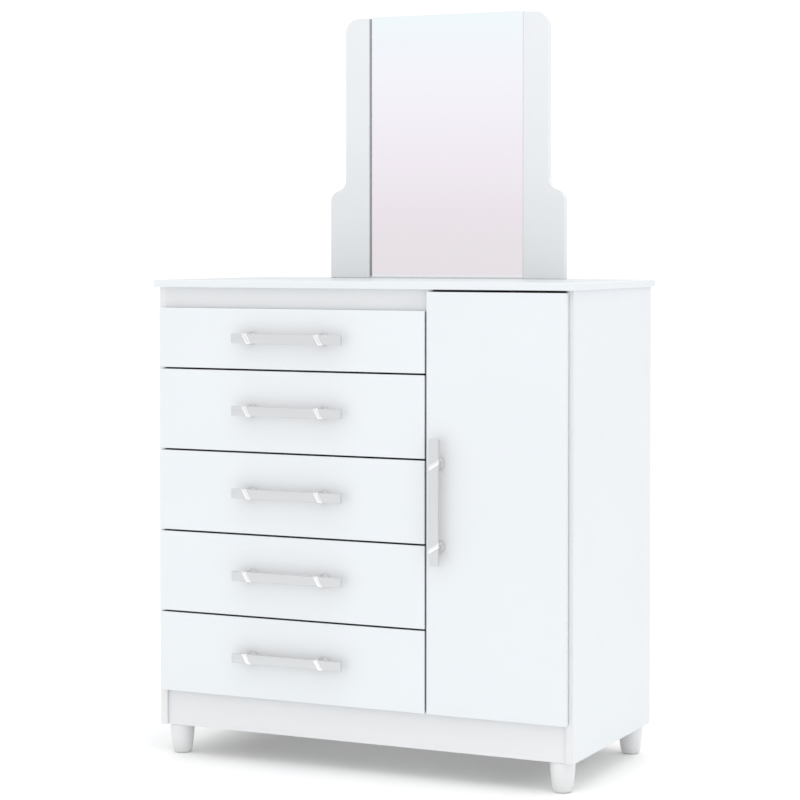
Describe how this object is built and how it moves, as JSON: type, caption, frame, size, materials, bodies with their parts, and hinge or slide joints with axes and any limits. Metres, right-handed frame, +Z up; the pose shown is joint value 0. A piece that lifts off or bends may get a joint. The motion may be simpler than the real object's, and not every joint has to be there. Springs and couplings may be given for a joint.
{
  "type": "dresser with mirror",
  "caption": "White dresser on turned feet with a stack of handled drawers beside a tall cupboard door, and an upright shouldered mirror panel standing on its top.",
  "frame": {"origin": "on the floor under the middle of the bounding box", "axes": "+Z up, -Y the front with the drawers and the door, +X to the right as seen from the front"},
  "size_m": [0.91, 0.489, 1.523],
  "materials": {
    "white_lacquer": "satin",
    "white_board": "matte",
    "hardboard": "matte",
    "foot_plastic": "satin",
    "handle_satin": "satin",
    "plated_steel": "polished",
    "runner_enamel": "satin",
    "silvered_glass": "polished"
  },
  "bodies": {
    "carcass": {"top_slab": "white_lacquer", "side_panel_left": "white_lacquer", "side_panel_right": "white_lacquer", "top_front_rail": "white_lacquer", "plinth_rail": "white_lacquer", "mirror_stile_left": "white_lacquer", "mirror_stile_right": "white_lacquer", "bottom_panel": "white_board", "centre_divider": "white_board", "top_rear_rail": "white_board", "shelf_lower": "white_board", "shelf_upper": "white_board", "foot_rail_left": "white_board", "foot_rail_right": "white_board", "mirror_back_board": "white_board", "mirror_batten_left": "white_board", "mirror_batten_right": "white_board", "back_panel": "hardboard", "mirror_glass": "silvered_glass", "foot_front_left": "foot_plastic", "foot_front_right": "foot_plastic", "foot_rear_left": "foot_plastic", "foot_rear_right": "foot_plastic", "runner_1_left": "runner_enamel", "runner_1_right": "runner_enamel", "runner_2_left": "runner_enamel", "runner_2_right": "runner_enamel", "runner_3_left": "runner_enamel", "runner_3_right": "runner_enamel", "runner_4_left": "runner_enamel", "runner_4_right": "runner_enamel", "runner_5_left": "runner_enamel", "runner_5_right": "runner_enamel", "hinge_arm_lower": "plated_steel", "hinge_arm_upper": "plated_steel"},
    "drawer_1": {"drawer_1_front": "white_lacquer", "drawer_1_box": "white_board", "drawer_1_bottom": "hardboard", "drawer_1_handle": "handle_satin"},
    "drawer_2": {"drawer_2_front": "white_lacquer", "drawer_2_box": "white_board", "drawer_2_bottom": "hardboard", "drawer_2_handle": "handle_satin"},
    "drawer_3": {"drawer_3_front": "white_lacquer", "drawer_3_box": "white_board", "drawer_3_bottom": "hardboard", "drawer_3_handle": "handle_satin"},
    "drawer_4": {"drawer_4_front": "white_lacquer", "drawer_4_box": "white_board", "drawer_4_bottom": "hardboard", "drawer_4_handle": "handle_satin"},
    "drawer_5": {"drawer_5_front": "white_lacquer", "drawer_5_box": "white_board", "drawer_5_bottom": "hardboard", "drawer_5_handle": "handle_satin"},
    "door": {"door_panel": "white_lacquer", "door_handle": "handle_satin", "hinge_cup_lower": "plated_steel", "hinge_cup_upper": "plated_steel"}
  },
  "joints": [
    {"name": "drawer_1_slide", "type": "slide", "parent": "carcass", "child": "drawer_1", "axis": [0, -1, 0], "range_m": [0, 0.3]},
    {"name": "drawer_2_slide", "type": "slide", "parent": "carcass", "child": "drawer_2", "axis": [0, -1, 0], "range_m": [0, 0.3]},
    {"name": "drawer_3_slide", "type": "slide", "parent": "carcass", "child": "drawer_3", "axis": [0, -1, 0], "range_m": [0, 0.3]},
    {"name": "drawer_4_slide", "type": "slide", "parent": "carcass", "child": "drawer_4", "axis": [0, -1, 0], "range_m": [0, 0.3]},
    {"name": "drawer_5_slide", "type": "slide", "parent": "carcass", "child": "drawer_5", "axis": [0, -1, 0], "range_m": [0, 0.3]},
    {"name": "door_hinge", "type": "hinge", "parent": "carcass", "child": "door", "pos_m": [0.439, -0.2135, 0.541], "axis": [0, 0, 1], "range_deg": [0, 95]}
  ]
}
